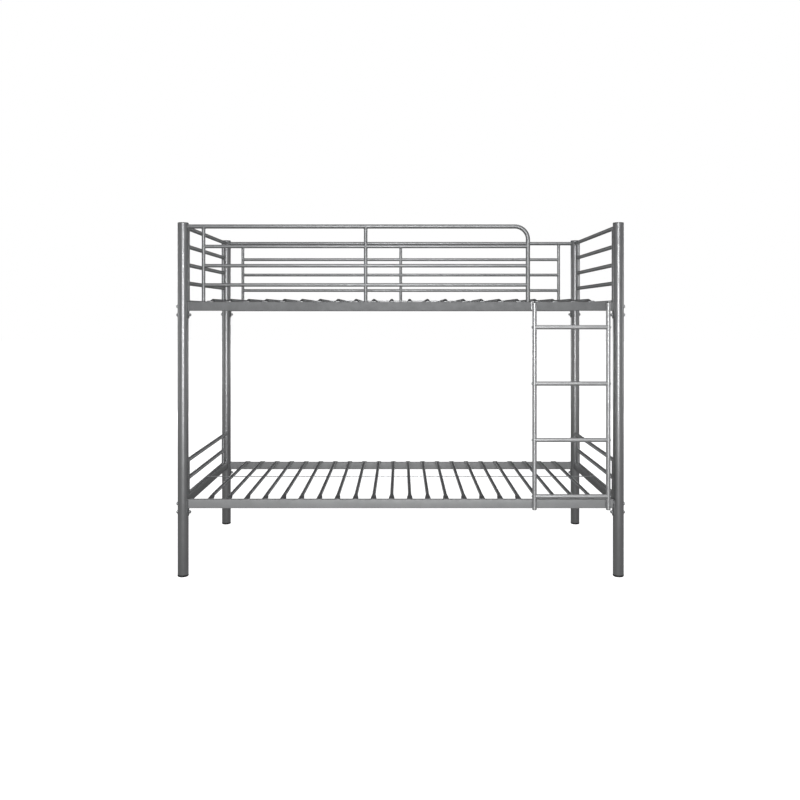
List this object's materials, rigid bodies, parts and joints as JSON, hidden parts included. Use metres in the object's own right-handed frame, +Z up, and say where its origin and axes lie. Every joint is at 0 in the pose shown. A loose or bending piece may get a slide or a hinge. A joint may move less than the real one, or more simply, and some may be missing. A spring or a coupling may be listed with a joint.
{
  "type": "bunk bed",
  "caption": "Twin metal bunk bed of round posts and rectangular side rails, with tube slats, guard rails round the upper bunk and a ladder that hooks over the upper front rail.",
  "frame": {"origin": "under the middle of the bed, on the floor plane", "axes": "+X along the bed towards the ladder end, +Y from the front (ladder side) to the rear, +Z up"},
  "size_m": [2.01, 0.9779, 1.584],
  "materials": {
    "silver_grey_paint": "satin silver-grey powder coat",
    "bright_silver_paint": "satin silver-grey powder coat",
    "zinc_steel": "zinc plated",
    "black_plastic": "matt moulded"
  },
  "bodies": {
    "frame": {"post_front_left": "silver_grey_paint", "post_front_right": "silver_grey_paint", "post_rear_left": "silver_grey_paint", "post_rear_right": "silver_grey_paint", "foot_front_left": "black_plastic", "foot_front_right": "black_plastic", "foot_rear_left": "black_plastic", "foot_rear_right": "black_plastic", "cap_front_left": "black_plastic", "cap_front_right": "black_plastic", "cap_rear_left": "black_plastic", "cap_rear_right": "black_plastic", "front_upper_rail": "silver_grey_paint", "front_lower_rail": "silver_grey_paint", "rear_upper_rail": "silver_grey_paint", "rear_lower_rail": "silver_grey_paint", "front_upper_plates": "silver_grey_paint", "front_lower_plates": "silver_grey_paint", "rear_upper_plates": "silver_grey_paint", "rear_lower_plates": "silver_grey_paint", "left_upper_end_rail": "silver_grey_paint", "right_upper_end_rail": "silver_grey_paint", "left_lower_end_rail": "silver_grey_paint", "right_lower_end_rail": "silver_grey_paint", "left_upper_top_bar": "silver_grey_paint", "right_upper_top_bar": "silver_grey_paint", "left_lower_top_bar": "silver_grey_paint", "right_lower_top_bar": "silver_grey_paint", "left_upper_uprights": "silver_grey_paint", "right_upper_uprights": "silver_grey_paint", "left_lower_uprights": "silver_grey_paint", "right_lower_uprights": "silver_grey_paint", "left_upper_bars": "silver_grey_paint", "right_upper_bars": "silver_grey_paint", "left_lower_bar": "silver_grey_paint", "right_lower_bar": "silver_grey_paint", "front_guard_hoop": "bright_silver_paint", "front_guard_uprights": "bright_silver_paint", "front_guard_bars": "bright_silver_paint", "rear_guard_top_bar": "silver_grey_paint", "rear_guard_uprights": "silver_grey_paint", "rear_guard_bars": "silver_grey_paint", "lower_slats": "silver_grey_paint", "upper_slats": "silver_grey_paint", "lower_tie_rod": "zinc_steel", "upper_tie_rod": "zinc_steel", "rail_bolts": "zinc_steel", "rail_nuts": "zinc_steel"},
    "ladder": {"ladder_left_stile": "bright_silver_paint", "ladder_right_stile": "bright_silver_paint", "ladder_rung_1": "bright_silver_paint", "ladder_rung_2": "bright_silver_paint", "ladder_rung_3": "bright_silver_paint", "ladder_rung_4": "bright_silver_paint", "ladder_left_hook": "bright_silver_paint", "ladder_right_hook": "bright_silver_paint", "ladder_pads": "black_plastic", "ladder_plugs": "black_plastic", "ladder_screws": "zinc_steel"}
  },
  "joints": [
    {"name": "ladder_lift", "type": "slide", "parent": "frame", "child": "ladder", "axis": [0, 0, 1], "range_m": [0, 0.06]}
  ]
}
